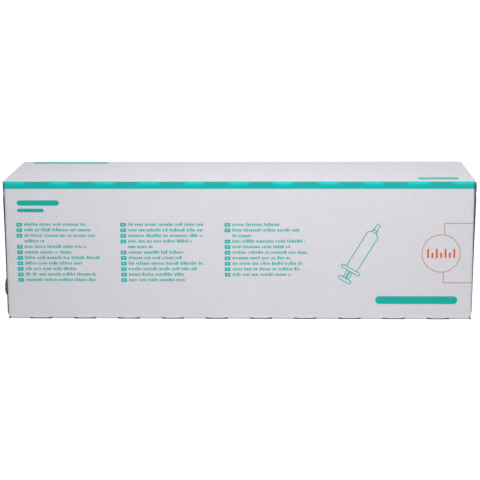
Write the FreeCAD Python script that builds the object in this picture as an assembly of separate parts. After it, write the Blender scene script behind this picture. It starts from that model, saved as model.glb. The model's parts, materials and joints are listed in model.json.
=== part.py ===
"""A long corrugated carton for small packed goods, folded from one die-cut blank.

The frame: +X runs along the carton, the front faces -Y, +Z is up, and the origin is
the centre of the underside. The carton is shown closed. All sizes are millimetres.
"""
import FreeCAD, Part
import math
import os

# Driving dimensions of the carton
LENGTH = 420.0
DEPTH = 122.0
HEIGHT = 126.0
BOARD = 1.6

# Outer radius of each kind of fold: across the flutes, along them, and at the tuck
LONG_FOLD_RADIUS = 3.0
END_FOLD_RADIUS = 2.0
TUCK_FOLD_RADIUS = 2.0

# Slit scores along the long folds: the board is cut, then only creased, in turn
SLIT_LENGTH = 20.0
CREASE_LENGTH = 20.0
SLIT_KERF = 0.3

# Glue lap that joins the blank into a tube, inside the lower back edge
LAP_HEIGHT = 30.0
LAP_END_GAP = 6.0
LAP_SLANT = 12.0

# Dust flaps, folded in at each end from the front and the back panels
DUST_LENGTH = 48.0
DUST_TOP_SLANT = 8.0
DUST_BASE_SLANT = 11.0
DUST_CORNER = 6.0
END_NOTCH = 0.4

# End flaps, which hang from the top panel outside the dust flaps
FLAP_GAP = 0.3
FLAP_TOP_INSET = 2.0
FLAP_FOOT_INSET = 10.0

# Tuck tongue at the foot of each end flap, which goes in above the bottom panel
TONGUE_LENGTH = 18.0
TONGUE_RISE = 5.5
TONGUE_CORNER = 12.0
TONGUE_CLEARANCE = 0.4

# Half-round pull tab on the front edge of the left end flap
TAB_RADIUS = 8.0
TAB_HEIGHT = 29.0

# Places that follow from the sizes above
FRONT_Y = -DEPTH / 2
BACK_Y = DEPTH / 2
END_X = LENGTH / 2
HINGE_X = END_X + FLAP_GAP + BOARD / 2
HINGE_Z = HEIGHT - BOARD / 2
DUST_BASE_Z = LONG_FOLD_RADIUS
DUST_TOP_Z = HEIGHT - LONG_FOLD_RADIUS


def box(x_span, y_span, z_span):
    """A block between the given pairs of coordinates."""
    corner = FreeCAD.Vector(x_span[0], y_span[0], z_span[0])
    return Part.makeBox(x_span[1] - x_span[0], y_span[1] - y_span[0], z_span[1] - z_span[0], corner)


def prism(points, sweep):
    """A closed outline of straight sides, swept along a vector."""
    vectors = [FreeCAD.Vector(*point) for point in points]
    outline = Part.makePolygon(vectors + vectors[:1])
    return Part.Face(outline).extrude(FreeCAD.Vector(*sweep))


def mirror_x(shape):
    """The same shape at the other end of the carton."""
    return shape.mirror(FreeCAD.Vector(0, 0, 0), FreeCAD.Vector(1, 0, 0))


def mirror_y(shape):
    """The same shape at the other side of the carton."""
    return shape.mirror(FreeCAD.Vector(0, 0, 0), FreeCAD.Vector(0, 1, 0))


def slit_spans():
    """Start and end of each slit along the length, with a crease at both ends of the fold."""
    pitch = SLIT_LENGTH + CREASE_LENGTH
    count = int((LENGTH - CREASE_LENGTH) / pitch)
    first = -(count * pitch - CREASE_LENGTH) / 2
    return [(first + n * pitch, first + n * pitch + SLIT_LENGTH) for n in range(count)]


def crease_spans():
    """The stretches of a long fold between its slits."""
    edges = [-END_X] + [x for span in slit_spans() for x in span] + [END_X]
    return list(zip(edges[0::2], edges[1::2]))


def long_corner(x_span, edge, inward, depth):
    """What an arc round a long fold's axis leaves of the square between it and the corner.

    edge is the y and z of the panels' outer corner, inward the signs that point to the inside.
    At depth 0 this is the waste outside the fold, and at the board's depth the fill inside it.
    """
    y_axis = edge[0] + inward[0] * LONG_FOLD_RADIUS
    z_axis = edge[1] + inward[1] * LONG_FOLD_RADIUS
    y_span = sorted((edge[0] + inward[0] * depth, y_axis))
    z_span = sorted((edge[1] + inward[1] * depth, z_axis))
    start = FreeCAD.Vector(x_span[0], y_axis, z_axis)
    along = FreeCAD.Vector(1, 0, 0)
    rod = Part.makeCylinder(LONG_FOLD_RADIUS - depth, x_span[1] - x_span[0], start, along)
    return box(x_span, y_span, z_span).cut(rod)


def end_corner(depth):
    """The same at the upright fold beside a dust flap, at the front of the right end."""
    x_axis = END_X - END_FOLD_RADIUS
    y_axis = FRONT_Y + END_FOLD_RADIUS
    square = box((x_axis, END_X - depth), (FRONT_Y + depth, y_axis), (DUST_BASE_Z, DUST_TOP_Z))
    start = FreeCAD.Vector(x_axis, y_axis, DUST_BASE_Z)
    return square.cut(Part.makeCylinder(END_FOLD_RADIUS - depth, DUST_TOP_Z - DUST_BASE_Z, start))


def at_four_corners(shape):
    """A shape at the front of the right end, repeated at the other three upright corners."""
    right = [shape, mirror_y(shape)]
    return right + [mirror_x(each) for each in right]


def creased_folds(depth):
    """The corner pieces of all creased stretches, at a depth below the board's outer face."""
    whole = (END_NOTCH - END_X, END_X - END_NOTCH)
    pieces = [long_corner(whole, (BACK_Y - BOARD, 0), (-1, 1), depth)]
    for span in crease_spans():
        pieces.append(long_corner(span, (FRONT_Y, HEIGHT), (1, -1), depth))
        pieces.append(long_corner(span, (FRONT_Y, 0), (1, 1), depth))
        pieces.append(long_corner(span, (BACK_Y, HEIGHT), (-1, -1), depth))
    return pieces


def panel_tube():
    """The front, top, back and bottom panels as a plain tube, with the glue lap inside."""
    outside = box((-END_X, END_X), (FRONT_Y, BACK_Y), (0, HEIGHT))
    inside = box((-END_X, END_X), (FRONT_Y + BOARD, BACK_Y - BOARD), (BOARD, HEIGHT - BOARD))
    lap_x = END_X - LAP_END_GAP
    lap_y = BACK_Y - 2 * BOARD
    lap_top = BOARD + LAP_HEIGHT
    lap = prism([(-lap_x, lap_y, BOARD), (lap_x, lap_y, BOARD), (lap_x - LAP_SLANT, lap_y, lap_top),
                 (LAP_SLANT - lap_x, lap_y, lap_top)], (0, BOARD, 0))
    return outside.cut(inside).fuse(lap)


def dust_flap():
    """The dust flap of the front panel at the right end, with slanted edges and round corners."""
    far_y = FRONT_Y + DUST_LENGTH
    plate = prism([(END_X - BOARD, FRONT_Y, DUST_BASE_Z), (END_X - BOARD, far_y, DUST_BASE_Z + DUST_BASE_SLANT),
                   (END_X - BOARD, far_y, DUST_TOP_Z - DUST_TOP_SLANT), (END_X - BOARD, FRONT_Y, DUST_TOP_Z)],
                  (BOARD, 0, 0))
    corners = [edge for edge in plate.Edges
               if abs(edge.CenterOfMass.y - far_y) < 1e-6 and abs(edge.Length - BOARD) < 1e-6]
    return plate.makeFillet(DUST_CORNER, corners)


def slit_kerfs():
    """The slits of the long folds, each through the board beside the panel that ends there."""
    inner_y = FRONT_Y + BOARD
    inner_z = HEIGHT - BOARD
    kerfs = []
    for span in slit_spans():
        kerfs.append(box(span, (inner_y, inner_y + SLIT_KERF), (inner_z, HEIGHT)))
        kerfs.append(box(span, (FRONT_Y, inner_y), (BOARD, BOARD + SLIT_KERF)))
        kerfs.append(box(span, (BACK_Y - BOARD, BACK_Y), (inner_z - SLIT_KERF, inner_z)))
    return kerfs


def end_notches():
    """The die-cut notches between the panels at the right end, above and below the dust flaps."""
    notch_x = (END_X - END_NOTCH, END_X)
    below = box(notch_x, (FRONT_Y, BACK_Y), (0, DUST_BASE_Z))
    above_front = box(notch_x, (FRONT_Y, FRONT_Y + LONG_FOLD_RADIUS), (DUST_TOP_Z, HEIGHT))
    return [below, above_front, mirror_y(above_front)]


def carton_body():
    """The folded blank: four panels, the glue lap and the four dust flaps, in one piece."""
    fill = creased_folds(BOARD) + at_four_corners(end_corner(BOARD))
    shape = panel_tube().fuse(at_four_corners(dust_flap()) + fill)
    waste = creased_folds(0) + at_four_corners(end_corner(0)) + slit_kerfs()
    for notch in end_notches():
        waste += [notch, mirror_x(notch)]
    return shape.cut(waste).removeSplitter()


def flap_inset(height):
    """How far the end flap's side edge stands in from the panel's edge at a height."""
    share = (HINGE_Z - height) / HINGE_Z
    return FLAP_TOP_INSET + share * (FLAP_FOOT_INSET - FLAP_TOP_INSET)


def flap_section():
    """The end flap in side view: round head at the hinge, straight panel, tuck fold and tongue."""
    half = BOARD / 2
    rise = math.radians(TONGUE_RISE)
    turn = math.pi / 2 - rise
    centre = (HINGE_X + half - TUCK_FOLD_RADIUS, BOARD + TONGUE_CLEARANCE + TUCK_FOLD_RADIUS)

    outer_radius = TUCK_FOLD_RADIUS
    inner_radius = TUCK_FOLD_RADIUS - BOARD

    def on_fold(radius, angle):
        return FreeCAD.Vector(centre[0] + radius * math.cos(angle), 0, centre[1] - radius * math.sin(angle))

    def fold_arc(radius):
        return Part.Arc(on_fold(radius, 0), on_fold(radius, turn / 2), on_fold(radius, turn)).toShape()

    along = FreeCAD.Vector(-math.cos(rise), 0, math.sin(rise))
    straight = TONGUE_LENGTH - TUCK_FOLD_RADIUS
    outer_end = on_fold(outer_radius, turn) + along * straight
    inner_end = on_fold(inner_radius, turn) + along * straight
    outer_top = FreeCAD.Vector(HINGE_X + half, 0, HINGE_Z)
    inner_top = FreeCAD.Vector(HINGE_X - half, 0, HINGE_Z)
    edges = [
        Part.Arc(inner_top, FreeCAD.Vector(HINGE_X, 0, HINGE_Z + half), outer_top).toShape(),
        Part.makeLine(outer_top, on_fold(outer_radius, 0)),
        fold_arc(outer_radius),
        Part.makeLine(on_fold(outer_radius, turn), outer_end),
        Part.makeLine(outer_end, inner_end),
        Part.makeLine(inner_end, on_fold(inner_radius, turn)),
        fold_arc(inner_radius),
        Part.makeLine(on_fold(inner_radius, 0), inner_top),
    ]
    return Part.Face(Part.Wire(edges))


def flap_outline():
    """The outline of the flap seen from the end, tapering to the tuck fold, as a deep prism."""
    top = DEPTH / 2 - FLAP_TOP_INSET
    foot = DEPTH / 2 - FLAP_FOOT_INSET
    start_x = HINGE_X - TONGUE_LENGTH - BOARD
    points = [(start_x, -foot, 0), (start_x, foot, 0), (start_x, top, HINGE_Z),
              (start_x, top, HEIGHT), (start_x, -top, HEIGHT), (start_x, -top, HINGE_Z)]
    return prism(points, (TONGUE_LENGTH + 2 * BOARD, 0, 0))


def tongue_corner_waste():
    """What the round front corner of the tongue leaves off, seen from above."""
    tip_x = HINGE_X + BOARD / 2 - TONGUE_LENGTH
    edge_y = flap_inset(BOARD) - DEPTH / 2
    centre = (tip_x + TONGUE_CORNER, edge_y + TONGUE_CORNER)
    square = box((tip_x - BOARD, centre[0]), (edge_y - BOARD, centre[1]), (0, DUST_BASE_Z + BOARD))
    axis_start = FreeCAD.Vector(centre[0], centre[1], 0)
    return square.cut(Part.makeCylinder(TONGUE_CORNER, HEIGHT, axis_start))


def end_flap():
    """The end flap at the right end, without a pull tab."""
    blank = flap_section().extrude(FreeCAD.Vector(0, DEPTH, 0))
    blank.translate(FreeCAD.Vector(0, FRONT_Y, 0))
    corner = tongue_corner_waste()
    return blank.common(flap_outline()).cut([corner, mirror_y(corner)]).removeSplitter()


def pull_tab():
    """The round tab that stands out of the front edge of the left end flap."""
    edge_y = flap_inset(TAB_HEIGHT) - DEPTH / 2
    start = FreeCAD.Vector(-HINGE_X - BOARD / 2, edge_y, TAB_HEIGHT)
    return Part.makeCylinder(TAB_RADIUS, BOARD, start, FreeCAD.Vector(1, 0, 0))


def main():
    right = end_flap()
    nodes = {
        "carton_body": carton_body(),
        "left_end_flap": mirror_x(right).fuse(pull_tab()).removeSplitter(),
        "right_end_flap": right,
    }
    os.makedirs("parts", exist_ok=True)
    for name, shape in nodes.items():
        solid = shape.Solids[0]
        print(name, "solids", len(shape.Solids), "valid", solid.isValid(), "volume", round(solid.Volume, 1))
        solid.exportStep("parts/" + name + ".step")


main()
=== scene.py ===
import bpy
import json
import math
import random
from collections import namedtuple
from mathutils import Matrix, Vector


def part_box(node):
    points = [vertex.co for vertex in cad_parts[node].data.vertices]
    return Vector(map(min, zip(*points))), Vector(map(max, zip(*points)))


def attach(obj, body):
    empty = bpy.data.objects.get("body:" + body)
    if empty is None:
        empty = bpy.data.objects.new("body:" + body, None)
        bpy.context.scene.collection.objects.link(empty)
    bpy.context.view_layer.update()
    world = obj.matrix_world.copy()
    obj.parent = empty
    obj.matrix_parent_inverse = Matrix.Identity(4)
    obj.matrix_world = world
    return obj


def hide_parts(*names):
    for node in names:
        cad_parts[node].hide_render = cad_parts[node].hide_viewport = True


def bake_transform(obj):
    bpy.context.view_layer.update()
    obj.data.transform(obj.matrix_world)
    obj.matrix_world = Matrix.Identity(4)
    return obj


# The looks of a long corrugated carton. Its board is built as three paper layers, two liners and the
# fluted sheet between them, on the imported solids' sizes. Print lies on it as thin fields of colour.
# Sizes and places are millimetres, and become metres where a mesh is made.
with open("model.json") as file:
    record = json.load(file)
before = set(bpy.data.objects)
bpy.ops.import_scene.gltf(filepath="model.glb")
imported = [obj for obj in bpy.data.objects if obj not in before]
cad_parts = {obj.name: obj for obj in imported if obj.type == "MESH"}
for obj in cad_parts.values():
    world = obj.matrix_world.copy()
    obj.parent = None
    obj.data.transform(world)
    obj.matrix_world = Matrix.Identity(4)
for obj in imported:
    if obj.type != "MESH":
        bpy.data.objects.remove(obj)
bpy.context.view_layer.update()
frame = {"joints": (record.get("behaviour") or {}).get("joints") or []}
MM = 0.001


def cad_span(node, axis):
    """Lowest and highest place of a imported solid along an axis, in millimetres."""
    low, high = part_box(node)
    return round(low[axis] / MM, 3), round(high[axis] / MM, 3)


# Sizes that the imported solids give
END_X = cad_span("carton_body", 0)[1]
FRONT_Y, BACK_Y = cad_span("carton_body", 1)
HEIGHT = cad_span("carton_body", 2)[1]
FLAP_FACE_X = cad_span("right_end_flap", 0)[1]
HINGE = [joint["pos_m"] for joint in frame["joints"] if joint["name"] == "right_flap_hinge"][0]
HINGE_X = HINGE[0] / MM
HINGE_Z = HINGE[2] / MM
BOARD = round(2 * (HEIGHT - HINGE_Z), 3)

# The board: liner, fluted sheet, liner
LINER = 0.25
MEDIUM = 0.2
FLUTE_PITCH = 3.2
SAMPLES_PER_FLUTE = 8

# Folds, as in the solids
LONG_FOLD_RADIUS = 3.0
END_FOLD_RADIUS = 2.0
TUCK_FOLD_RADIUS = 2.0
SLIT_LENGTH = 20.0
CREASE_LENGTH = 20.0
SLIT_KERF = 0.3
END_NOTCH = 0.4

# Glue lap inside the lower back edge
LAP_HEIGHT = 30.0
LAP_END_GAP = 6.0
LAP_SLANT = 12.0

# Dust flaps
DUST_LENGTH = 48.0
DUST_TOP_SLANT = 8.0
DUST_BASE_SLANT = 11.0
DUST_CORNER = 6.0
DUST_FOLD_STEPS = 6
DUST_CORNER_STEPS = 9
DUST_BASE_Z = LONG_FOLD_RADIUS
DUST_TOP_Z = HEIGHT - LONG_FOLD_RADIUS

# End flaps, their tuck tongues and the pull tab of the left one
FLAP_TOP_INSET = 2.0
FLAP_FOOT_INSET = 10.0
FOLD_STRIP_FOOT_Z = HEIGHT - 2.6
TONGUE_LENGTH = 18.0
TONGUE_RISE = 5.5
TONGUE_CORNER = 12.0
TONGUE_CLEARANCE = 0.4
TAB_RADIUS = 8.0
TAB_HEIGHT = 29.0
TAB_LEAN = 0.5

# Where the fold strip to an end flap leaves the top panel, and the crushed side edges below it: how far
# in from the edge they are pressed together, how far down, and to which share of their thickness
STRIP_X = END_X - 1.0
CRUSH_WIDTH = 1.5
CRUSH_HEIGHT = 12.0
CRUSHED_SHARE = 0.14
FLAP_COLUMNS = 10

# How far an end flap sits askew, at its top and at its foot
FLAP_SKEW = (-1.5, 3.0)

# How much fuller than round the two lower folds are, which the carton's weight has pressed sharp
SHARP_FOLD = 0.22

# How far the paper stands off a true plane: panels swell a little, slit edges flare
PANEL_SWELL = {"lap": 0.0, "bottom": 0.0, "front": 0.22, "top": 0.18, "back": 0.22}
WAVE_SHARE = 0.25
WAVE_COUNT = 5.2
WAVE_SLANT = 3.0
CREASE_FLARE = 0.12
SLIT_FLARE = 0.45
FLARE_REACH = 3.6
FLARE_ROWS = (0.6, 1.0)
FLARE_RAMP = 3.0
FLAP_SWELL = 0.25

# Slit edges: how much shorter each paper layer is there, how far the top panel's rear edge is pressed
# down, and how far the front panel's outer liner hangs over the bottom panel's edge
SLIT_BEVEL = {"bottom": 0.0, "front": 0.1, "top": 1.0}
BEVEL_SHARE = {"outer_liner": 1.0, "flutes": 0.5, "inner_liner": 0.0}
PRESS_LIMIT = 0.9
PRESS_STEP = 0.5
LINER_HANG = 0.75

# Print: the band along the top, and how far ink stands proud of the paper
BAND_Z = HEIGHT - 6.2
FLAP_BAND_Z = HEIGHT - 9.0
INK_LIFT = 0.03
INK_SINK = 0.02

# The panels in section, as the square corners that they run between
LAP_FACE_Y = BACK_Y - BOARD
CORNERS = [(LAP_FACE_Y, BOARD + LAP_HEIGHT), (LAP_FACE_Y, 0.0), (FRONT_Y, 0.0), (FRONT_Y, HEIGHT),
           (BACK_Y, HEIGHT), (BACK_Y, 0.0)]
PANELS = ["lap", "bottom", "front", "top", "back"]

Spot = namedtuple("Spot", "point inward u v")
Line = namedtuple("Line", "start along inward length first_v")

# Numbers of a sheet's materials: bare outer side, inked outer side, and inked edges, which are
# made darker as painted shade, or, on the fold strips, brown paper
BARE = 0
INKED = 1
THIRD = 2

# Slack where a place is compared with one that was worked out, and the angle from which edges are sharp
SLACK = 1e-6
SHARP_ANGLE = math.radians(35.0)


def add_object(name, data):
    placed = bpy.data.objects.new(name, data)
    bpy.context.scene.collection.objects.link(placed)
    return placed


# Sheets

class Sheet:
    """A closed thin sheet, gathered as nodes that have an outer and an inner point each."""

    def __init__(self):
        self.numbers = {}
        self.nodes = []
        self.faces = []

    def node(self, outer, inner, u, v):
        key = tuple(round(value, 4) for value in (*outer, *inner))
        if key not in self.numbers:
            self.numbers[key] = len(self.nodes)
            self.nodes.append((outer, inner, u, v))
        return self.numbers[key]

    def spot(self, spot, outer_depth, inner_depth):
        """A node at a spot on the board's outer face, between two depths below it."""
        outer = [p + n * outer_depth for p, n in zip(spot.point, spot.inward)]
        inner = [p + n * inner_depth for p, n in zip(spot.point, spot.inward)]
        return self.node(outer, inner, spot.u, spot.v)

    def face(self, ring, material=BARE, flip=False):
        ring = [number for place, number in enumerate(ring) if number != ring[place - 1]]
        if len(set(ring)) >= 3:
            self.faces.append((ring[::-1] if flip else ring, material))

    def grid(self, rows, material=BARE, flip=False):
        """Faces between rows of nodes; material may be a function of a face's row and column."""
        for number, (row, following) in enumerate(zip(rows, rows[1:])):
            for n in range(len(row) - 1):
                kind = material(number, n) if callable(material) else material
                self.face([row[n], following[n], following[n + 1], row[n + 1]], kind, flip)

    def build(self, name, materials, shaded_inked_edge=BARE):
        """The mesh object; the last two materials are for the inner side and the cut edges.
        Where a shaded inked edge is given, it is the material of the cut edges of the inked part, dark
        with painted shade."""
        count = len(self.nodes)
        inner_kind = len(materials) - 2
        edge_kind = len(materials) - 1
        faces = []
        kinds = []
        edges = {}
        for ring, kind in self.faces:
            faces += [ring, [count + number for number in reversed(ring)]]
            kinds += [kind, inner_kind]
            for place, number in enumerate(ring):
                edges[(ring[place - 1], number)] = kind
        for (start, end), kind in edges.items():
            if (end, start) not in edges:
                faces.append([end, start, count + start, count + end])
                kinds.append(shaded_inked_edge if BARE < kind <= shaded_inked_edge else edge_kind)
        points = [node[0] for node in self.nodes] + [node[1] for node in self.nodes]
        mesh = bpy.data.meshes.new(name)
        mesh.from_pydata([[value * MM for value in point] for point in points], [], faces)
        mesh.polygons.foreach_set("material_index", kinds)
        layer = mesh.uv_layers.new(name="sheet")
        for loop in mesh.loops:
            node = self.nodes[loop.vertex_index % count]
            layer.data[loop.index].uv = (node[2] * MM, node[3] * MM)
        for material in materials:
            mesh.materials.append(material)
        mesh.shade_smooth()
        mesh.set_sharp_from_angle(angle=SHARP_ANGLE)
        return add_object(name, mesh)


def flute_depth(u):
    """Depth of the fluted sheet's outer side at a place across the flutes."""
    room = BOARD - 2 * LINER - MEDIUM
    return LINER + room * (0.5 + 0.5 * math.sin(2 * math.pi * u / FLUTE_PITCH))


def layer_depths(layer, u):
    """Outer and inner depth of a paper layer below the board's outer face."""
    if layer == "outer_liner":
        return 0.0, LINER
    if layer == "flutes":
        return flute_depth(u), flute_depth(u) + MEDIUM
    return BOARD - LINER, BOARD


def steps(start, end, longest):
    """Places from start to end, both kept, no further apart than the given step."""
    count = max(1, math.ceil(abs(end - start) / longest - SLACK))
    return [start + (end - start) * n / count for n in range(count + 1)]


def through(stops, longest):
    """The same through several stops in turn."""
    places = [stops[0]]
    for start, end in zip(stops, stops[1:]):
        places += steps(start, end, longest)[1:]
    return places


def fallen(radius, along):
    """How far a round corner or fold has fallen away at a distance along it."""
    return radius - math.sqrt(max(0.0, radius ** 2 - max(0.0, along) ** 2))


# The folded tube of panels

def make_lines():
    lines = {}
    first_v = 0.0
    for name, (y0, z0), (y1, z1) in zip(PANELS, CORNERS, CORNERS[1:]):
        length = math.hypot(y1 - y0, z1 - z0)
        along = ((y1 - y0) / length, (z1 - z0) / length)
        lines[name] = Line((y0, z0), along, (along[1], -along[0]), length, first_v)
        first_v += length
    return lines


LINES = make_lines()
NOTCH_X = END_X - END_NOTCH
DUST_START_X = END_X - END_FOLD_RADIUS


def slit_spans():
    """Start and end of each slit along the length, as in the solids."""
    pitch = SLIT_LENGTH + CREASE_LENGTH
    count = int((2 * END_X - CREASE_LENGTH) / pitch)
    first = -(count * pitch - CREASE_LENGTH) / 2
    return [(first + n * pitch, first + n * pitch + SLIT_LENGTH) for n in range(count)]


SLITS = slit_spans()


def swell(panel, s, x):
    """How far a panel stands out of its plane: a gentle crown with a slow wave in it."""
    line = LINES[panel]
    share = (s - LONG_FOLD_RADIUS) / (line.length - 2 * LONG_FOLD_RADIUS)
    if not 0 < share < 1 or abs(x) >= DUST_START_X:
        return 0.0
    along = math.cos(math.pi / 2 * x / DUST_START_X)
    wave = WAVE_SHARE * math.sin(WAVE_COUNT * math.pi * x / DUST_START_X + WAVE_SLANT * share)
    return PANEL_SWELL[panel] * math.sin(math.pi * share) * along * (1 + wave)


def slit_share(x):
    """0 where the folds are creased, and up to 1 well inside a slit."""
    inside = max(min(x - start, end - x) for start, end in SLITS)
    return max(0.0, min(1.0, inside / FLARE_RAMP))


def flare(panel, s, x):
    """The crushed lower edge of the front panel leans out a little, more so where it is slit."""
    if panel != "front" or s > BOARD + FLARE_REACH:
        return 0.0
    share = 1 - (s - BOARD) / FLARE_REACH
    return (CREASE_FLARE + (SLIT_FLARE - CREASE_FLARE) * slit_share(x)) * share * share


def panel_spot(panel, s, x):
    """A spot on a panel's outer face, s along its section from the square corner that it starts at."""
    line = LINES[panel]
    lift = swell(panel, s, x) + flare(panel, s, x)
    y = line.start[0] + line.along[0] * s - line.inward[0] * lift
    z = line.start[1] + line.along[1] * s - line.inward[1] * lift
    return Spot((x, y, z), (0.0, *line.inward), x, line.first_v + s)


def print_spot(panel, s, x):
    """The same, where x past the upright fold's start runs on round the fold."""
    spot = panel_spot(panel, s, max(-DUST_START_X, min(DUST_START_X, x)))
    turn = (abs(x) - DUST_START_X) / END_FOLD_RADIUS
    if turn <= 0:
        return spot
    end = math.copysign(1.0, x)
    forward = spot.inward[1]
    point = (end * (DUST_START_X + END_FOLD_RADIUS * math.sin(turn)),
             spot.point[1] + forward * END_FOLD_RADIUS * (1 - math.cos(turn)), spot.point[2])
    inward = (-end * math.sin(turn), forward * math.cos(turn), 0.0)
    return Spot(point, inward, x, spot.v)


def fold_spot(panel, following, share, x):
    """A spot on the rounded fold between a panel and the next one; share goes from 0 to 1."""
    line = LINES[panel]
    after = LINES[following]
    turn = share * math.pi / 2
    inward = [a * math.cos(turn) + b * math.sin(turn) for a, b in zip(line.inward, after.inward)]
    sharp = SHARP_FOLD * math.sin(2 * turn) if panel in ("lap", "bottom") else 0.0
    lift = LONG_FOLD_RADIUS * (1 + sharp) + share * flare(following, LONG_FOLD_RADIUS, x)
    point = []
    for corner, along, turned, first in zip(after.start, line.along, inward, line.inward):
        axis = corner - along * LONG_FOLD_RADIUS + first * LONG_FOLD_RADIUS
        point.append(axis - turned * lift)
    v = after.first_v + (2 * share - 1) * LONG_FOLD_RADIUS
    return Spot((x, *point), (0.0, *inward), x, v)


def flipped(panel, value):
    """A height as a place along the front or the back panel's section, and the other way round."""
    return value if panel == "front" else HEIGHT - value


def panel_rows(panel, slit, longest, corner=False):
    """Places along a panel's section, with its extra stretches where its folds are slit or open."""
    length = LINES[panel].length
    stops = [LONG_FOLD_RADIUS, length - LONG_FOLD_RADIUS]
    if panel == "back":
        stops[1] = length
    if panel in ("front", "back"):
        stops += [flipped(panel, z) for z in (DUST_BASE_Z, BAND_Z, DUST_TOP_Z)]
    if panel == "front":
        stops += [BOARD + FLARE_REACH * share for share in FLARE_ROWS]
    rows = through(sorted(set(stops)), longest)
    if slit and panel in ("front", "top", "back"):
        rows.insert(0, BOARD + SLIT_KERF)
    if (slit and panel in ("bottom", "front", "top")) or (corner and panel == "bottom"):
        rows.append(length)
    return rows


def tube_columns(longest):
    """Places along the length, with every slit's ends and the ends of the folds and the lap."""
    half = [DUST_START_X, STRIP_X, NOTCH_X, END_X - LAP_END_GAP]
    stops = half + [-x for x in half] + [x for slit in SLITS for x in slit]
    return through(sorted(stops), longest)


def pressed_edge(panel, s):
    """How far the top panel's rear slit edge is pressed down, round like the fold beside it."""
    if panel != "top":
        return 0.0
    into = s - (LINES[panel].length - LONG_FOLD_RADIUS)
    return min(PRESS_LIMIT, fallen(LONG_FOLD_RADIUS, into))


def layer_spot(panel, layer, s, x):
    """A panel's spot, with the front panel's outer liner hanging below the other layers' slit edge."""
    if panel == "front" and layer == "outer_liner" and s <= BOARD + SLIT_KERF:
        s -= LINER_HANG * slit_share(x)
    return panel_spot(panel, s, x)


def in_band(panel, s):
    """Whether a place on the front or the back panel lies in the coloured band."""
    return panel in ("front", "back") and flipped(panel, s) > BAND_Z


def left_out(panel, s, x):
    """Whether a panel is gone at a place, because a dust flap or a fold strip turns away there."""
    if panel == "top":
        return abs(x) > STRIP_X and LONG_FOLD_RADIUS < s < LINES[panel].length - LONG_FOLD_RADIUS
    at_dust_flap = panel in ("front", "back") and abs(x) > DUST_START_X
    return at_dust_flap and DUST_BASE_Z < flipped(panel, s) < DUST_TOP_Z


def add_tube(sheet, layer, columns, longest, fold_steps):
    """The bottom, front, top and back panels and the long folds of one paper layer."""
    for x_start, x_end in zip(columns, columns[1:]):
        middle = (x_start + x_end) / 2
        slit = any(start < middle < end for start, end in SLITS)
        corner = abs(middle) > DUST_START_X
        depths = [layer_depths(layer, x) for x in (x_start, x_end)]

        def pair(place, press=0.0):
            """The nodes at both ends of this stretch, with the layer pressed in by a distance."""
            spots = []
            for x, depth in zip((x_start, x_end), depths):
                squeezed = [BOARD - (BOARD - value) * (1 - press / BOARD) for value in depth]
                spots.append(sheet.spot(place(x), *squeezed))
            return spots

        def strip(start, end, inked):
            sheet.face([start[0], start[1], end[1], end[0]], INKED if inked else BARE)

        for panel in PANELS[1:]:
            rows = panel_rows(panel, slit, longest, corner)
            if slit and panel in SLIT_BEVEL:
                rows[-1] -= SLIT_BEVEL[panel] * BEVEL_SHARE[layer]
            if slit and panel == "top":
                rows += steps(rows[-2], rows.pop(), PRESS_STEP)[1:]
            for s_start, s_end in zip(rows, rows[1:]):
                s_middle = (s_start + s_end) / 2
                if left_out(panel, s_middle, middle):
                    continue
                press = [pressed_edge(panel, s) if slit else 0.0 for s in (s_start, s_end)]
                start = pair(lambda x: layer_spot(panel, layer, s_start, x), press[0])
                end = pair(lambda x: layer_spot(panel, layer, s_end, x), press[1])
                strip(start, end, in_band(panel, s_middle))
        for panel, following in zip(PANELS, PANELS[1:]):
            if (slit and panel != "lap") or (corner and panel == "bottom"):
                continue
            for n in range(fold_steps):
                start = pair(lambda x: fold_spot(panel, following, n / fold_steps, x))
                end = pair(lambda x: fold_spot(panel, following, (n + 1) / fold_steps, x))
                strip(start, end, panel in ("front", "top"))


def add_lap(sheet, layer, columns, longest):
    """The glue lap of one paper layer, with slanted ends."""
    reach = END_X - LAP_END_GAP
    foot = LINES["lap"].length - LONG_FOLD_RADIUS
    rows = []
    for s in steps(0.0, foot, longest):
        narrowed = (reach - LAP_SLANT * (foot - s) / foot) / reach
        row = []
        for x in (x for x in columns if abs(x) <= reach):
            spot = panel_spot("lap", s, x * narrowed)
            row.append(sheet.spot(spot._replace(u=x), *layer_depths(layer, x)))
        rows.append(row)
    sheet.grid(rows, flip=True)


def dust_section(t):
    """The dust flap's section t past its fold's start: x, depth from the panel's face, outward way."""
    arc = END_FOLD_RADIUS * math.pi / 2
    if t < arc:
        turn = t / END_FOLD_RADIUS
        x = DUST_START_X + END_FOLD_RADIUS * math.sin(turn)
        return x, END_FOLD_RADIUS * (1 - math.cos(turn)), (math.sin(turn), math.cos(turn))
    return END_X, END_FOLD_RADIUS + t - arc, (1.0, 0.0)


def dust_limits(depth):
    """Lowest and highest place of the dust flap at a depth from its panel's face."""
    share = depth / DUST_LENGTH
    rounding = fallen(DUST_CORNER, DUST_CORNER - (DUST_LENGTH - depth))
    return (DUST_BASE_Z + DUST_BASE_SLANT * share + rounding,
            DUST_TOP_Z - DUST_TOP_SLANT * share - rounding)


def dust_columns(longest):
    """Places along the dust flap's section, close together in its fold and its round corners."""
    arc = END_FOLD_RADIUS * math.pi / 2
    length = arc + DUST_LENGTH - END_FOLD_RADIUS
    corner = length - DUST_CORNER
    fold = steps(0.0, arc, min(longest, arc / DUST_FOLD_STEPS))
    flat = steps(arc, corner, longest)[1:]
    turns = [math.pi / 2 * n / DUST_CORNER_STEPS for n in range(1, DUST_CORNER_STEPS + 1)]
    rounding = [corner + DUST_CORNER * math.sin(turn) for turn in turns]
    return sorted(fold + flat + rounding + steps(corner, length, longest)[1:-1])


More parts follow.
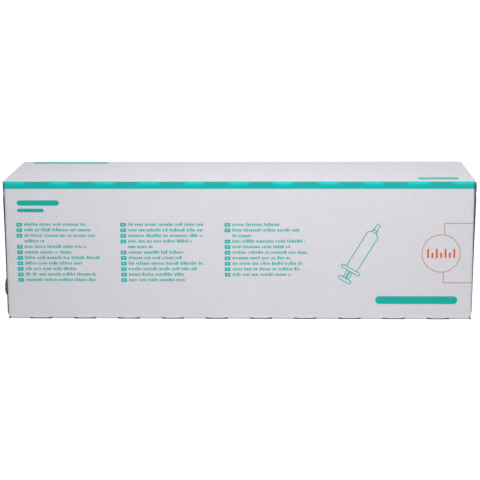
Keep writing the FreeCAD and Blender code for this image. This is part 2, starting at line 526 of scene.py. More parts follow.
def add_dust_flap(sheet, layer, end, side, columns, longest):
    """One dust flap with its upright fold; end is -1 or 1, and side -1 for the front one."""
    panel = "front" if side < 0 else "back"
    face_y = FRONT_Y if side < 0 else BACK_Y
    first_v = LINES[panel].first_v
    heights = sorted(flipped(panel, s) for s in panel_rows(panel, False, longest))
    heights = [z for z in heights if DUST_BASE_Z - SLACK <= z <= DUST_TOP_Z + SLACK]
    grid = []
    for t in columns:
        x, depth, outward = dust_section(t)
        low, high = dust_limits(depth)
        band = min(high, BAND_Z)
        u = end * (DUST_START_X + t)
        column = []
        for height in heights:
            z = high
            if height <= BAND_Z + SLACK:
                z = low + (band - low) * (height - DUST_BASE_Z) / (BAND_Z - DUST_BASE_Z)
            point = (end * x, face_y - side * depth, z)
            inward = (-end * outward[0], -side * outward[1], 0.0)
            spot = Spot(point, inward, u, first_v + flipped(panel, z))
            column.append(sheet.spot(spot, *layer_depths(layer, u)))
        grid.append(column)

    def material(row, _):
        return INKED if heights[row] > BAND_Z - SLACK else BARE

    sheet.grid(list(zip(*grid)), material, flip=end * side < 0)


def carton_layer(layer, materials, longest_x, longest_s, fold_steps):
    """One paper layer of the folded blank, without the end flaps."""
    sheet = Sheet()
    columns = tube_columns(longest_x)
    add_tube(sheet, layer, columns, longest_s, fold_steps)
    add_lap(sheet, layer, columns, longest_s)
    for end in (-1, 1):
        for side in (-1, 1):
            add_dust_flap(sheet, layer, end, side, dust_columns(longest_x), longest_s)
    piece = sheet.build("carton_" + layer, materials, THIRD)
    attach(piece, "carton")
    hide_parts("carton_body")


# End flaps

TUCK_AXIS_Z = BOARD + TONGUE_CLEARANCE + TUCK_FOLD_RADIUS
TUCK_TURN = math.radians(90.0 - TONGUE_RISE)
FLAP_PATH_LENGTH = (FOLD_STRIP_FOOT_Z - TUCK_AXIS_Z + TUCK_TURN * TUCK_FOLD_RADIUS
                    + TONGUE_LENGTH - TUCK_FOLD_RADIUS)

# Where a flap's sheet lies in the print's own directions, clear of the panels
FLAP_U = END_X + 2 * BOARD
FLAP_V = 4 * END_X

# Where the fold strip starts and stops turning, so that its rims stay on the panel and on the flap,
# in how many steps its liners turn, from which row it is inked, and how soon its edges are crushed
OUTER_TURN_STEPS = 8
INNER_TURN_STEPS = 6
FIRST_INKED_ROW = 6
FOLD_CRUSH_RATE = 1.5
# How many columns along each side edge of an end flap's band take the dark teal of painted shade
SHADED_EDGE_COLUMNS = 2


def flap_section(t):
    """The end flap's section t below its fold strip, at the right end: x, z and the outward way."""
    straight = FOLD_STRIP_FOOT_Z - TUCK_AXIS_Z
    arc = TUCK_TURN * TUCK_FOLD_RADIUS
    axis_x = FLAP_FACE_X - TUCK_FOLD_RADIUS
    if t <= straight:
        crown = FLAP_SWELL * math.sin(math.pi * t / straight)
        return FLAP_FACE_X - crown, FOLD_STRIP_FOOT_Z - t, (1.0, 0.0)
    angle = min(t - straight, arc) / TUCK_FOLD_RADIUS
    outward = (math.cos(angle), -math.sin(angle))
    x = axis_x + TUCK_FOLD_RADIUS * outward[0]
    z = TUCK_AXIS_Z + TUCK_FOLD_RADIUS * outward[1]
    beyond = max(0.0, t - straight - arc)
    return x + beyond * outward[1], z + beyond * outward[0], outward


def flap_half_width(z):
    """Half the width of an end flap at a height, without its tab."""
    share = (HINGE_Z - z) / HINGE_Z
    return BACK_Y - FLAP_TOP_INSET - share * (FLAP_FOOT_INSET - FLAP_TOP_INSET)


def flap_edges(t, z, end):
    """Front and back edge of an end flap, t below its fold strip."""
    half = flap_half_width(z) - fallen(TONGUE_CORNER, TONGUE_CORNER - (FLAP_PATH_LENGTH - t))
    share = (HINGE_Z - z) / HINGE_Z
    shift = end * (FLAP_SKEW[0] + share * (FLAP_SKEW[1] - FLAP_SKEW[0]))
    front = shift - half
    if end < 0 and abs(z - TAB_HEIGHT) < TAB_RADIUS:
        tab = math.sqrt(TAB_RADIUS ** 2 - (z - TAB_HEIGHT) ** 2)
        front = min(front, -flap_half_width(TAB_HEIGHT) - tab)
    return front, shift + half


def crushed(depth, edge_distance, t):
    """The depth of a paper layer of a flap where its side edge is pressed flat below the fold."""
    across = max(0.0, 1 - edge_distance / CRUSH_WIDTH)
    down = max(0.0, 1 - t / CRUSH_HEIGHT)
    share = 1 - (1 - CRUSHED_SHARE) * across * math.sqrt(down)
    return BOARD - (BOARD - depth) * share


def width_steps(front, back):
    """Places across a flap, closer together along its pressed side edges."""
    low, high = front + CRUSH_WIDTH, back - CRUSH_WIDTH
    middle = [low + (high - low) * n / FLAP_COLUMNS for n in range(FLAP_COLUMNS + 1)]
    return [front, front + CRUSH_WIDTH / 2, *middle, back - CRUSH_WIDTH / 2, back]


def flap_layer(side_name, end, layer, materials):
    """One paper layer of an end flap; the flutes run across it."""
    sheet = Sheet()
    straight = FOLD_STRIP_FOOT_Z - TUCK_AXIS_Z
    band_t = FOLD_STRIP_FOOT_Z - FLAP_BAND_Z
    places = through([0.0, band_t, straight, FLAP_PATH_LENGTH], FLUTE_PITCH / SAMPLES_PER_FLUTE)
    rows = []
    for t in places:
        x, z, outward = flap_section(t)
        front, back = flap_edges(t, z, end)
        u = FLAP_U + t
        depths = layer_depths(layer, u)
        row = []
        inward = (-end * outward[0], 0.0, -outward[1])
        at_tab = end < 0 and abs(z - TAB_HEIGHT) < TAB_RADIUS
        for y in width_steps(front, back):
            beyond = max(0.0, -flap_half_width(TAB_HEIGHT) - y) if at_tab else 0.0
            lean = TAB_LEAN * beyond / TAB_RADIUS
            spot = Spot((end * (x + lean), y, z), inward, u, FLAP_V + y)
            pressed = [crushed(depth, min(y - front, back - y), t) for depth in depths]
            row.append(sheet.spot(spot, *pressed))
        rows.append(row)
    last = len(rows[0]) - 2

    def material(row, column):
        if places[row] > band_t - SLACK:
            return BARE
        # The band's outermost columns at the side edges take painted shade, in dark teal
        return THIRD if min(column, last - column) < SHADED_EDGE_COLUMNS else INKED

    sheet.grid(rows, material, flip=end < 0)
    piece = sheet.build(side_name + "_flap_" + layer, materials, THIRD)
    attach(piece, side_name + "_flap")
    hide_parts(side_name + "_end_flap")


def turned_path(axis_x, axis_z, radius, count):
    """A quarter turn from upwards to sideways, as places and the ways they face."""
    path = []
    for n in range(count + 1):
        turn = math.pi / 2 * (1 - n / count)
        way = (math.cos(turn), math.sin(turn))
        path.append(((axis_x + radius * way[0], axis_z + radius * way[1]), way))
    return path


def fold_strip(side_name, end, materials):
    """The crushed fold between the top panel and an end flap: its two liners, which bend with it."""
    head = BOARD / 2
    inner_x = HINGE_X - head + LINER
    inner_z = HEIGHT - BOARD + LINER
    up = (0.0, 1.0)
    sideways = (1.0, 0.0)
    outer_path = [((STRIP_X, HEIGHT), up), ((HINGE_X - head, HEIGHT), up)]
    outer_path += turned_path(HINGE_X, HINGE_Z, head, OUTER_TURN_STEPS)
    outer_path.append(((FLAP_FACE_X, FOLD_STRIP_FOOT_Z), sideways))
    inner_path = [((STRIP_X, inner_z), up), ((inner_x - head, inner_z), up)]
    inner_path += turned_path(inner_x - head, inner_z - head, head, INNER_TURN_STEPS)
    inner_path.append(((inner_x, FOLD_STRIP_FOOT_Z), sideways))
    sheet = Sheet()
    foot_edges = flap_edges(0.0, FOLD_STRIP_FOOT_Z, end)

    def outer_material(row, _):
        return INKED if row >= FIRST_INKED_ROW else BARE

    for path, material in ((outer_path, outer_material), (inner_path, THIRD)):
        length = 0.0
        previous = path[0][0]
        rows = []
        for (x, z), way in path:
            length += math.hypot(x - previous[0], z - previous[1])
            previous = (x, z)
            whole_way = FLAP_FACE_X - FOLD_STRIP_FOOT_Z - STRIP_X + HEIGHT
            share = max(0.0, min(1.0, (x - z - STRIP_X + HEIGHT) / whole_way))
            head_half = BACK_Y - LONG_FOLD_RADIUS
            front = -head_half + (foot_edges[0] + head_half) * share
            back = head_half + (foot_edges[1] - head_half) * share
            inward = (-end * way[0], 0.0, -way[1])
            row = []
            for y in width_steps(front, back):
                sunk = 0.0
                if path is outer_path:
                    sunk = crushed(0.0, min(y - front, back - y), 0.0)
                    sunk *= min(1.0, FOLD_CRUSH_RATE * share)
                spot = Spot((end * x, y, z), inward, STRIP_X + length, FLAP_V + y)
                row.append(sheet.spot(spot, sunk, sunk + LINER))
            rows.append(row)
        sheet.grid(rows, material, flip=end < 0)
    piece = sheet.build(side_name + "_flap_fold", materials)
    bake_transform(piece)


# Print

class Print:
    """Fields of one ink on a panel, given by their outlines in the panel's own two directions."""

    def __init__(self, panel, lift=INK_LIFT):
        self.panel = panel
        self.lift = lift
        self.sheet = Sheet()

    def node(self, x, s):
        return self.sheet.spot(print_spot(self.panel, s, x), -self.lift, INK_SINK)

    def field(self, outline):
        """A filled outline, its points in turn anticlockwise as seen from outside."""
        self.sheet.face([self.node(x, s) for x, s in outline])

    def bar(self, x, s, width, height, corner=0.0):
        """A bar with its lower left corner at (x, s), with round corners if asked."""
        self.field(rounded(x, s, width, height, corner))

    def stroke(self, path, width, closed=False):
        """A line of even width along a path, with mitred corners."""
        count = len(path)
        left = []
        right = []
        for n, (x, s) in enumerate(path):
            before = path[n - 1] if n or closed else path[n]
            after = path[(n + 1) % count] if n < count - 1 or closed else path[n]
            first = unit(x - before[0], s - before[1])
            second = unit(after[0] - x, after[1] - s)
            first, second = first or second, second or first
            middle = unit(-first[1] - second[1], first[0] + second[0])
            reach = width / 2 / (middle[0] * -first[1] + middle[1] * first[0])
            left.append(self.node(x + middle[0] * reach, s + middle[1] * reach))
            right.append(self.node(x - middle[0] * reach, s - middle[1] * reach))
        for n in range(count if closed else count - 1):
            m = (n + 1) % count
            self.sheet.face([left[n], right[n], right[m], left[m]])

    def build(self, name, material):
        piece = self.sheet.build(name, [material] * 3)
        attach(piece, "carton")


CORNER_STEPS = 4


def unit(x, y):
    """The way that a line points, or None where it has no length."""
    length = math.hypot(x, y)
    return (x / length, y / length) if length > SLACK else None


def rounded(x, y, width, height, corner):
    """Outline of a bar, anticlockwise, with round corners where corner is more than 0."""
    if corner <= 0:
        return [(x, y), (x + width, y), (x + width, y + height), (x, y + height)]
    centres = [(x + width - corner, y + corner, -90), (x + width - corner, y + height - corner, 0),
               (x + corner, y + height - corner, 90), (x + corner, y + corner, 180)]
    outline = []
    for centre_x, centre_y, start in centres:
        for n in range(CORNER_STEPS + 1):
            angle = math.radians(start + 90 * n / CORNER_STEPS)
            outline.append((centre_x + corner * math.cos(angle), centre_y + corner * math.sin(angle)))
    return outline


def circle(x, y, radius, count):
    angles = [2 * math.pi * n / count for n in range(count)]
    return [(x + radius * math.cos(angle), y + radius * math.sin(angle)) for angle in angles]


# Rows of small blocks in three columns, each as how many rows it has and which one has no mark
COLUMN_PITCH = 93.7
FIRST_COLUMN_X = -200.0
COLUMN_ROWS = [(11, 3), (11, 4), (10, 2)]
TOP_ROW_Z = 87.2
ROW_PITCH = 5.1
MARK_SIZE = (5.2, 3.5)
MARK_CORNER = 0.4
DASH_INSET = 1.8
DASH_SIZE = (1.6, 0.6)
DASH_LIFT = INK_LIFT + 0.02
TEXT_OFFSET = 7.0
TEXT_LENGTH = (42.0, 70.0)
SHORT_TEXT_LENGTH = (11.0, 32.0)
WORD_BLOCKS = (3, 9)
BLOCK_WIDTHS = (0.65, 1.2, 1.2, 1.8)
BLOCK_FOOT = -1.0
BLOCK_HEIGHT = 2.1
TALL_BLOCK_HEIGHT = 2.9
TALL_BLOCK_SHARE = 0.22
BLOCK_GAP = 0.42
WORD_GAP = 1.7
PRINT_SEED = 11


def print_rows(ink, mark_ink, paper):
    """Coloured marks with a light dash in each, and a row of grouped blocks beside each."""
    chance = random.Random(PRINT_SEED)
    marks = Print("front")
    dashes = Print("front", DASH_LIFT)
    blocks = Print("front")
    for column, (rows, unmarked) in enumerate(COLUMN_ROWS):
        left = FIRST_COLUMN_X + column * COLUMN_PITCH
        for row in range(rows):
            z = TOP_ROW_Z - row * ROW_PITCH
            if row != unmarked:
                marks.bar(left, z - MARK_SIZE[1] / 2, *MARK_SIZE, MARK_CORNER)
                dashes.bar(left + DASH_INSET, z - DASH_SIZE[1] / 2, *DASH_SIZE)
            x = left + TEXT_OFFSET
            end = x + chance.uniform(*(TEXT_LENGTH if row != unmarked else SHORT_TEXT_LENGTH))
            letters = chance.randint(*WORD_BLOCKS)
            while x < end:
                width = chance.choice(BLOCK_WIDTHS)
                height = TALL_BLOCK_HEIGHT if chance.random() < TALL_BLOCK_SHARE else BLOCK_HEIGHT
                blocks.bar(x, z + BLOCK_FOOT, width, height)
                x += width + BLOCK_GAP
                letters -= 1
                if letters == 0:
                    x += WORD_GAP - BLOCK_GAP
                    letters = chance.randint(*WORD_BLOCKS)
    marks.build("print_marks", mark_ink)
    dashes.build("print_mark_dashes", paper)
    blocks.build("print_rows", ink)


# Ring with its two lead-in lines, and a plain scale in it
RING = (181.5, 61.1)
RING_RADIUS = 17.1
RING_LINE = 0.8
RING_POINTS = 96
LEAD_TOP = (184.1, 88.5)
LEAD_FOOT = (183.9, 34.2)
LEAD_TURNS = (0.0, 0.4, 0.8, 1.2)
SCALE_TICKS = 7
SCALE_PITCH = 3.9
SCALE_TICK_WIDTH = 1.7
SCALE_TICK_CORNER = 0.6
SCALE_HEIGHTS = (8.6, 5.2)


def print_ring(line_ink, scale_ink):
    ring = Print("front")
    ring.stroke(circle(*RING, RING_RADIUS, RING_POINTS), RING_LINE, closed=True)
    for lead_x, lead_z in (LEAD_TOP, LEAD_FOOT):
        rise = math.sqrt(RING_RADIUS ** 2 - (lead_x - RING[0]) ** 2)
        start_z = RING[1] + math.copysign(rise, lead_z - RING[1])
        over_fold = [(DUST_START_X + END_FOLD_RADIUS * turn, lead_z) for turn in LEAD_TURNS]
        ring.stroke([(lead_x, start_z), (lead_x, lead_z), *over_fold], RING_LINE)
    scale = Print("front")
    for n in range(SCALE_TICKS):
        height = SCALE_HEIGHTS[n % 2]
        x = RING[0] + (n - (SCALE_TICKS - 1) / 2) * SCALE_PITCH
        foot = RING[1] - SCALE_HEIGHTS[0] / 2
        scale.bar(x - SCALE_TICK_WIDTH / 2, foot, SCALE_TICK_WIDTH, height, SCALE_TICK_CORNER)
    ring.build("print_ring", line_ink)
    scale.build("print_scale", scale_ink)


# Line drawing of a plain syringe: where its foot is, which way it points, and its parts, each as
# where it starts and ends along the syringe and half its width
DRAWING_FOOT = (94.6, 35.6)
DRAWING_TILT = math.radians(59.0)
DRAWING_LINE = 0.85
THUMB_REST = (0.0, 3.0, 6.2)
PLUNGER = (3.0, 10.4, 2.6)
PLUNGER_RIB = (3.0, 10.4, 0.5)
FINGER_REST = (10.4, 13.2, 9.3)
BARREL = (13.2, 49.5, 5.4)
SHOULDER_END = (52.0, 2.2)
COLLAR = (52.0, 54.2, 2.2)
NOZZLE = (54.2, 60.0, 1.5)
REST_CORNER = 1.35


def print_drawing(ink):
    drawing = Print("front")
    cosine, sine = math.cos(DRAWING_TILT), math.sin(DRAWING_TILT)

    def place(points):
        return [(DRAWING_FOOT[0] + a * cosine - b * sine, DRAWING_FOOT[1] + a * sine + b * cosine)
                for a, b in points]

    for start, end, half in (THUMB_REST, FINGER_REST):
        outline = rounded(start, -half, end - start, 2 * half, REST_CORNER)
        drawing.stroke(place(outline), DRAWING_LINE, closed=True)
    for start, end, half in (PLUNGER, PLUNGER_RIB):
        for b in (-half, half):
            drawing.stroke(place([(start, b), (end, b)]), DRAWING_LINE)
    start, end, half = BARREL
    for side in (-1, 1):
        outline = [(start, side * half), (end, side * half), (SHOULDER_END[0], side * SHOULDER_END[1])]
        drawing.stroke(place(outline), DRAWING_LINE)
    for start, end, half in (COLLAR, NOZZLE):
        outline = [(start, -half), (end, -half), (end, half), (start, half)]
        drawing.stroke(place(outline), DRAWING_LINE, closed=True)
    drawing.build("print_drawing", ink)


# Plain bars, each as left edge, lower edge, width, height and corner radius; on the top, the lower
# edge is measured from the front. Specks in the paper, each as place and radius.
FRONT_BARS = [(-198.8, 104.6, 38.0, 4.8, 2.3), (-198.8, 98.6, 24.0, 3.2, 1.5),
              (123.0, 14.4, 74.0, 7.2, 3.5)]
TOP_BARS = [(161.0, 13.0, 37.0, 13.0, 3.4), (-201.4, 105.5, 73.0, 12.5, 3.8)]
BAR_PRINTS = [("print_bars", "front", FRONT_BARS), ("print_top_bars", "top", TOP_BARS)]
SPECKS = [(127.6, 64.1, 0.45), (135.9, 46.4, 0.55)]
SPECK_POINTS = 10


def print_bars(ink, pale_ink):
    """Rounded bars on the front and on the top, and two small specks."""
    for name, panel, plans in BAR_PRINTS:
        bars = Print(panel)
        for plan in plans:
            bars.bar(*plan)
        bars.build(name, ink)
    specks = Print("front")
    for x, z, radius in SPECKS:
        specks.field(circle(x, z, radius, SPECK_POINTS))
    specks.build("print_specks", pale_ink)


# Materials

def fill(tree, node, settings):
    """Sets a node's sockets; each value may be a number, a colour or another node's socket."""
    for name, value in settings.items():
        if isinstance(value, bpy.types.NodeSocket):
            tree.links.new(value, node.inputs[name])
        else:
            node.inputs[name].default_value = value
    return node


def add_node(tree, kind, settings):
    return fill(tree, tree.nodes.new(kind), settings)


def new_material(name, roughness, shine):
    material = bpy.data.materials.new(name)
    material.use_nodes = True
    tree = material.node_tree
    shader = tree.nodes["Principled BSDF"]
    fill(tree, shader, {"Roughness": roughness, "Specular IOR Level": shine})
    return material, tree, shader


def sheet_places(tree):
    """The sheet's own coordinates, in metres."""
    return tree.nodes.new("ShaderNodeTexCoord").outputs["UV"]


def worked_out(tree, operation, *values):
    """A maths node's result."""
    node = add_node(tree, "ShaderNodeMath", dict(enumerate(values)))
    node.operation = operation
    return node.outputs[0]


def fading(tree, value, full_at, gone_at):
    """A factor that falls from 1 to 0 between two values."""
    settings = {"Value": value, "From Min": full_at, "From Max": gone_at, "To Min": 1.0, "To Max": 0.0}
    return add_node(tree, "ShaderNodeMapRange", settings).outputs["Result"]


def noise(tree, coordinates, pattern):
    """A noise factor over the sheet."""
    scale, detail, stretch = pattern
    mapping = add_node(tree, "ShaderNodeMapping", {"Vector": coordinates, "Scale": stretch})
    settings = {"Vector": mapping.outputs["Vector"], "Scale": scale, "Detail": detail,
                "Roughness": PATTERN_ROUGHNESS}
    return add_node(tree, "ShaderNodeTexNoise", settings).outputs["Fac"]


def washboard(tree, coordinates):
    """A sine across the flutes, which shows faintly through a liner."""
    scale = 2 * math.pi / (WAVES_PER_SCALE * FLUTE_PITCH * MM)
    settings = {"Vector": coordinates, "Scale": scale, "Distortion": 0.0}
    texture = add_node(tree, "ShaderNodeTexWave", settings)
    texture.wave_type = "BANDS"
    texture.bands_direction = "X"
    texture.wave_profile = "SIN"
    return texture.outputs["Fac"]


def colour_range(tree, factor, low, high, places=None):
    """A colour between two; places are where the factor gives the one and the other."""
    ramp = add_node(tree, "ShaderNodeValToRGB", {"Fac": factor})
    for element, place, colour in zip(ramp.color_ramp.elements, places or MIDDLE_RAMP, (low, high)):
        element.position = place
        element.color = (*colour, 1)
    return ramp.outputs["Color"]


def mixed(tree, factor, first, second):
    """Two colours mixed."""
    mix = tree.nodes.new("ShaderNodeMix")
    mix.data_type = "RGBA"
    values = {"Factor_Float": factor, "A_Color": first, "B_Color": second}
    places = {socket.identifier: place for place, socket in enumerate(mix.inputs)}
    fill(tree, mix, {places[name]: value for name, value in values.items()})
    return next(socket for socket in mix.outputs if socket.identifier == "Result_Color")


def bump(tree, height, distance, below=None):
    settings = {"Strength": 1.0, "Distance": distance, "Height": height}
    if below is not None:
        settings["Normal"] = below
    return add_node(tree, "ShaderNodeBump", settings).outputs["Normal"]


def shades(colour, shares):
    """Slightly darker or lighter shades of a colour."""
    return [tuple(value * share for value in colour) for share in shares]


# Colours
PAPER = (0.81, 0.802, 0.851)
TEAL = (0.006, 0.53, 0.485)
# Lighter teal painted on the band's creases as a highlight
CREASE_HIGHLIGHT_TEAL = (0.006, 0.74, 0.67)
# Darker teal painted along the top fold's slit stretches as shade
SLIT_SHADE_TEAL = (0.05, 0.43, 0.40)
KRAFT = (0.42, 0.29, 0.18)
CUT_EDGE = (0.42, 0.41, 0.40)
FLUTE_PAPER = (0.37, 0.355, 0.34)
# Cut edges of the end flaps, darker than the body's cut edges: painted shade
SHADED_FLAP_EDGE = (0.25, 0.22, 0.20)
# Ink round the band's cut edges, darkened as painted shade
SHADED_INK_EDGE = (0.004, 0.34, 0.28)
ROW_INK = (0.08, 0.50, 0.46)
DRAWING_INK = (0.03, 0.46, 0.41)
BAR_INK = (0.004, 0.46, 0.40)
RING_INK = (0.62, 0.32, 0.27)
ORANGE_INK = (0.80, 0.125, 0.004)
SPECK_INK = (0.5, 0.5, 0.52)

# Patterns, each as how often it repeats in a metre, its detail and how it is stretched
PLAIN = (1, 1, 1)
CLOUDS = (45.0, 3.0, PLAIN)
GRAIN = (900.0, 2.0, (1, 0.45, 1))
STREAKS = (1000.0, 3.0, (1, 0.3, 1))
PATCHES = (260.0, 5.0, (0.35, 1, 1))
KRAFT_CLOUDS = (60.0, 4.0, PLAIN)
FIBRES = (700.0, 6.0, (1, 0.25, 1))
INK_COVER = (1400.0, 3.0, PLAIN)
PATTERN_ROUGHNESS = 0.6
WAVES_PER_SCALE = 20

# How far the patterns darken or lighten a colour, and how much each one counts
PAPER_SHADES = (0.94, 0.8)
KRAFT_CLOUD_SHADES = (0.86, 1.06)
FIBRE_SHADES = (0.7, 1.15)
INK_SHADES = (0.92, 1.05)
PATCH_SHADES = (0.3, 1.0)
GRAIN_SHARE = 0.3
LINES_SHARE = 0.45
STREAKS_SHARE = 0.8
FIBRE_SHARE = 0.45
MIDDLE_RAMP = (0.35, 0.65)
FIBRE_RAMP = (0.38, 0.6)
FULL_RAMP = (0.0, 1.0)

# How high grain, fibres and flutes stand, and each face's roughness and shine
GRAIN_HEIGHT = 6e-6
INK_HEIGHT = 4e-6
FIBRE_HEIGHT = 1.5e-5
PAPER_WASH = 0.8e-5
KRAFT_WASH = 2.0e-5
PAPER_FACE = (0.55, 0.25)
BAND_FACE = (0.5, 0.14)
KRAFT_FACE = (0.82, 0.15)
INK_FACE = (0.45, 0.25)

# Where the band has a painted highlight at its creases and painted shade at its slits: where that is
# full, and where gone
RIDGE_FADE = (0.5 * MM, 2.5 * MM)
RIM_FADE = (0.8 * MM, 1.1 * MM)
CREASE_FADE = ((CREASE_LENGTH / 2 - 3.0) * MM, CREASE_LENGTH / 2 * MM)


def paper_material(name, colour, face=PAPER_FACE):
    """Coated paper: soft mottling, fine grain, and streaks along the flutes, partly their faint
    show-through and partly painted shade of the ripple that they give the liner.
    """
    material, tree, shader = new_material(name, *face)
    uv = sheet_places(tree)
    mottled, dark = shades(colour, PAPER_SHADES)
    grain = noise(tree, uv, GRAIN)
    flutes = washboard(tree, uv)
    cloud = colour_range(tree, noise(tree, uv, CLOUDS), mottled, colour)
    soft = mixed(tree, GRAIN_SHARE, cloud, colour_range(tree, grain, mottled, colour))
    # Streaks along the flute sine: partly show-through, partly painted shade of the flutes' ripple
    lines = mixed(tree, STREAKS_SHARE, colour_range(tree, flutes, dark, colour, FULL_RAMP),
                  colour_range(tree, noise(tree, uv, STREAKS), dark, colour))
    relief = bump(tree, grain, GRAIN_HEIGHT, bump(tree, flutes, PAPER_WASH))
    fill(tree, shader, {"Base Color": mixed(tree, LINES_SHARE, soft, lines), "Normal": relief})
    return material


def band_material(name, colour, highlight_colour, slit_shade_colour):
    """Ink on paper, with a painted highlight on the creases of the two upper folds and painted shade at
    the slit edges.
    """
    material = paper_material(name, colour, BAND_FACE)
    tree = material.node_tree
    uv = sheet_places(tree)
    along = add_node(tree, "ShaderNodeSeparateXYZ", {"Vector": uv})
    distances = []
    for fold in ("top", "back"):
        distance = worked_out(tree, "SUBTRACT", along.outputs["Y"], LINES[fold].first_v * MM)
        distances.append(worked_out(tree, "ABSOLUTE", distance))
    ridges = [fading(tree, distance, *RIDGE_FADE) for distance in distances]
    ridge = worked_out(tree, "MAXIMUM", *ridges)
    half_pitch = (SLIT_LENGTH + CREASE_LENGTH) / 2 * MM
    from_crease = worked_out(tree, "PINGPONG", along.outputs["X"], half_pitch)
    creased = fading(tree, from_crease, *CREASE_FADE)
    patches = colour_range(tree, noise(tree, uv, PATCHES), *shades((1, 1, 1), PATCH_SHADES))
    # Painted highlight: patchy, on the creased stretches of the two upper folds
    painted_highlight = worked_out(tree, "MULTIPLY", worked_out(tree, "MULTIPLY", ridge, creased), patches)
    # Painted shade along the top fold where it is slit
    painted_slit_shade = worked_out(tree, "SUBTRACT", fading(tree, distances[0], *RIM_FADE), creased)
    shader = tree.nodes["Principled BSDF"]
    ink = shader.inputs["Base Color"].links[0].from_socket
    highlighted = mixed(tree, painted_highlight, ink, (*highlight_colour, 1))
    fill(tree, shader, {"Base Color": mixed(tree, painted_slit_shade, highlighted, (*slit_shade_colour, 1))})
    return material


def kraft_material(name, colour):
    """Uncoated paper: long fibres, flecks and a rougher face."""
    material, tree, shader = new_material(name, *KRAFT_FACE)
    uv = sheet_places(tree)
    clouds = noise(tree, uv, KRAFT_CLOUDS)
    cloud = colour_range(tree, clouds, *shades(colour, KRAFT_CLOUD_SHADES))
    fibres = noise(tree, uv, FIBRES)
    fine = colour_range(tree, fibres, *shades(colour, FIBRE_SHADES), FIBRE_RAMP)
    relief = bump(tree, fibres, FIBRE_HEIGHT, bump(tree, washboard(tree, uv), KRAFT_WASH))
    fill(tree, shader, {"Base Color": mixed(tree, FIBRE_SHARE, cloud, fine), "Normal": relief})
    return material


def ink_material(name, colour):
    """Print ink with the paper's grain in it and a slightly uneven cover."""
    material, tree, shader = new_material(name, *INK_FACE)
    cover = noise(tree, sheet_places(tree), INK_COVER)
    uneven = colour_range(tree, cover, *shades(colour, INK_SHADES))
    fill(tree, shader, {"Base Color": uneven, "Normal": bump(tree, cover, INK_HEIGHT)})
    return material


# Stage: floor, light and camera

FLOOR_HALF = 9.0
FLOOR_SHADE = 0.66
FLOOR_ROUGHNESS = 0.9
FLOOR_GLOW = 0.8
WORLD_STRENGTH = 0.31

# Each light: name, place, what it points at, width, power, colour and spread, in metres and watts
Light = namedtuple("Light", "name place target size power colour spread")
CARTON_MIDDLE = (0, 0, 0.06)
WHITE = (1, 1, 1)
COOL = (0.8, 0.84, 1.0)
WIDE = math.pi
LIGHTS = [Light("key", (0.055, -0.54, 0.59), (0.035, 0, 0.06), 0.45, 2.07, WHITE, math.radians(140.0)),
          Light("fill", (0.3, -1.6, 1.2), CARTON_MIDDLE, 1.0, 1.85, WHITE, WIDE),
          Light("back", (0, 1.7, 1.1), CARTON_MIDDLE, 1.0, 5.0, COOL, WIDE),
          Light("left", (-1.9, 0.6, 0.7), CARTON_MIDDLE, 0.8, 1.8, WHITE, WIDE),
          Light("right", (1.9, 0.6, 0.7), CARTON_MIDDLE, 0.8, 1.8, WHITE, WIDE)]

# The camera, as found from the carton's corners in the photograph
CAMERA_PLACE = (0.0362, -1.3471, 0.3426)
CAMERA_PITCH = math.radians(11.823)
CAMERA_YAW = math.radians(1.556)
CAMERA_ROLL = math.radians(-0.267)
FOCAL_PIXELS = 1464.7
IMAGE_PIXELS = 480.0
SENSOR_WIDTH = 36.0


def seen_directly(tree):
    """A factor that is 1 for camera, mirror and glass rays, and 0 for the light on surfaces."""
    path = tree.nodes.new("ShaderNodeLightPath")
    total = path.outputs["Is Camera Ray"]
    for name in ("Is Glossy Ray", "Is Transmission Ray"):
        total = worked_out(tree, "MAXIMUM", total, path.outputs[name])
    return total


def make_floor():
    mesh = bpy.data.meshes.new("floor")
    h = FLOOR_HALF
    mesh.from_pydata([(-h, -h, 0), (h, -h, 0), (h, h, 0), (-h, h, 0)], [], [(0, 1, 2, 3)])
    floor = add_object("floor", mesh)
    material, tree, shader = new_material("floor_white", FLOOR_ROUGHNESS, 0.0)
    fill(tree, shader, {"Base Color": (FLOOR_SHADE, FLOOR_SHADE, FLOOR_SHADE, 1)})
    glow = worked_out(tree, "MULTIPLY", seen_directly(tree), FLOOR_GLOW)
    emission = add_node(tree, "ShaderNodeEmission", {"Strength": glow})
    total = add_node(tree, "ShaderNodeAddShader", {0: shader.outputs[0], 1: emission.outputs[0]})
    fill(tree, tree.nodes["Material Output"], {"Surface": total.outputs[0]})
    mesh.materials.append(material)


def make_world():
    world = bpy.data.worlds.new("studio")
    bpy.context.scene.world = world
    world.use_nodes = True
    tree = world.node_tree
    settings = {"Value": seen_directly(tree), "To Min": WORLD_STRENGTH, "To Max": 1.0}
    strength = add_node(tree, "ShaderNodeMapRange", settings).outputs["Result"]
    fill(tree, tree.nodes["Background"], {"Color": (1, 1, 1, 1), "Strength": strength})


def add_light(plan):
    data = bpy.data.lights.new(plan.name, "AREA")
    data.shape = "DISK"
    data.size = plan.size
    data.energy = plan.power
    data.color = plan.colour
    data.spread = plan.spread
    light = add_object(plan.name, data)
    light.location = plan.place
    light.rotation_mode = "QUATERNION"
    light.rotation_quaternion = (Vector(plan.target) - Vector(plan.place)).to_track_quat("-Z", "Y")


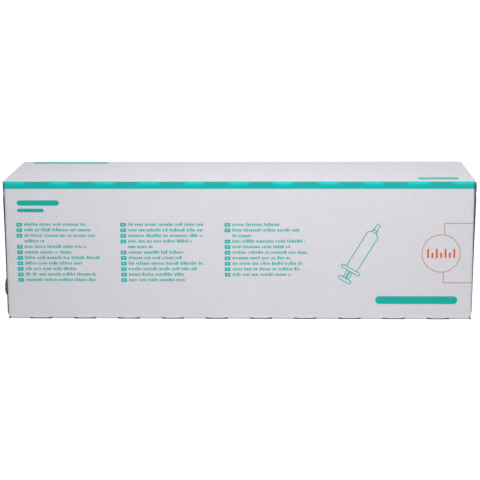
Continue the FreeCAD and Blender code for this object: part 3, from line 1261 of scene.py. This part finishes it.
def make_camera():
    data = bpy.data.cameras.new("camera")
    data.sensor_width = SENSOR_WIDTH
    data.lens = FOCAL_PIXELS / IMAGE_PIXELS * SENSOR_WIDTH
    camera = add_object("camera", data)
    forward = Vector((-math.sin(CAMERA_YAW) * math.cos(CAMERA_PITCH),
                      math.cos(CAMERA_YAW) * math.cos(CAMERA_PITCH), -math.sin(CAMERA_PITCH)))
    right = Vector((math.cos(CAMERA_YAW), math.sin(CAMERA_YAW), 0))
    up = right.cross(forward)
    rolled_right = right * math.cos(CAMERA_ROLL) + up * math.sin(CAMERA_ROLL)
    rolled_up = -right * math.sin(CAMERA_ROLL) + up * math.cos(CAMERA_ROLL)
    turn = Matrix((rolled_right, rolled_up, -forward)).transposed()
    camera.matrix_world = Matrix.Translation(Vector(CAMERA_PLACE)) @ turn.to_4x4()
    bpy.context.scene.camera = camera


SIDES = (("left", -1), ("right", 1))

# Each paper layer's steps: the longest along the length and round the section, and those in a fold
LINER_STEPS = (5.0, 8.0, 6)
FLUTE_STEPS = (FLUTE_PITCH / SAMPLES_PER_FLUTE, 40.0, 4)


def main():
    make_camera()
    paper = paper_material("white_liner", PAPER)
    band = band_material("teal_band", TEAL, CREASE_HIGHLIGHT_TEAL, SLIT_SHADE_TEAL)
    kraft = kraft_material("kraft_liner", KRAFT)
    flutes = kraft_material("flute_paper", FLUTE_PAPER)
    cut = kraft_material("cut_edge", CUT_EDGE)
    # The end flaps' cut edges, the pull tab's included, are darkened as painted shade
    shaded_flap_cut = kraft_material("flap_edge_painted_shade", SHADED_FLAP_EDGE)
    shaded_inked_cut = kraft_material("shaded_inked_edge", SHADED_INK_EDGE)
    # The dark teal on the band's cut edges, on its flutes and on a flap's edge columns is ink with
    # painted shade
    layers = [("outer_liner", [paper, band, shaded_inked_cut, kraft], LINER_STEPS),
              ("flutes", [flutes, shaded_inked_cut, shaded_inked_cut, flutes], FLUTE_STEPS),
              ("inner_liner", [kraft, kraft, shaded_inked_cut, kraft], LINER_STEPS)]
    for layer, materials, layer_steps in layers:
        carton_layer(layer, materials + [cut], *layer_steps)
        for side_name, end in SIDES:
            flap_layer(side_name, end, layer, materials + [shaded_flap_cut])
    for side_name, end in SIDES:
        fold_strip(side_name, end, [paper, band, kraft, kraft, shaded_flap_cut])
    teal_ink = ink_material("teal_ink", TEAL)
    row_ink = ink_material("row_ink", ROW_INK)
    print_rows(row_ink, teal_ink, paper)
    print_ring(ink_material("ring_ink", RING_INK), ink_material("orange_ink", ORANGE_INK))
    print_drawing(ink_material("drawing_ink", DRAWING_INK))
    print_bars(ink_material("bar_ink", BAR_INK), ink_material("speck_ink", SPECK_INK))
    make_floor()
    make_world()
    for plan in LIGHTS:
        add_light(plan)
    bpy.context.scene.view_settings.view_transform = "Standard"


main()
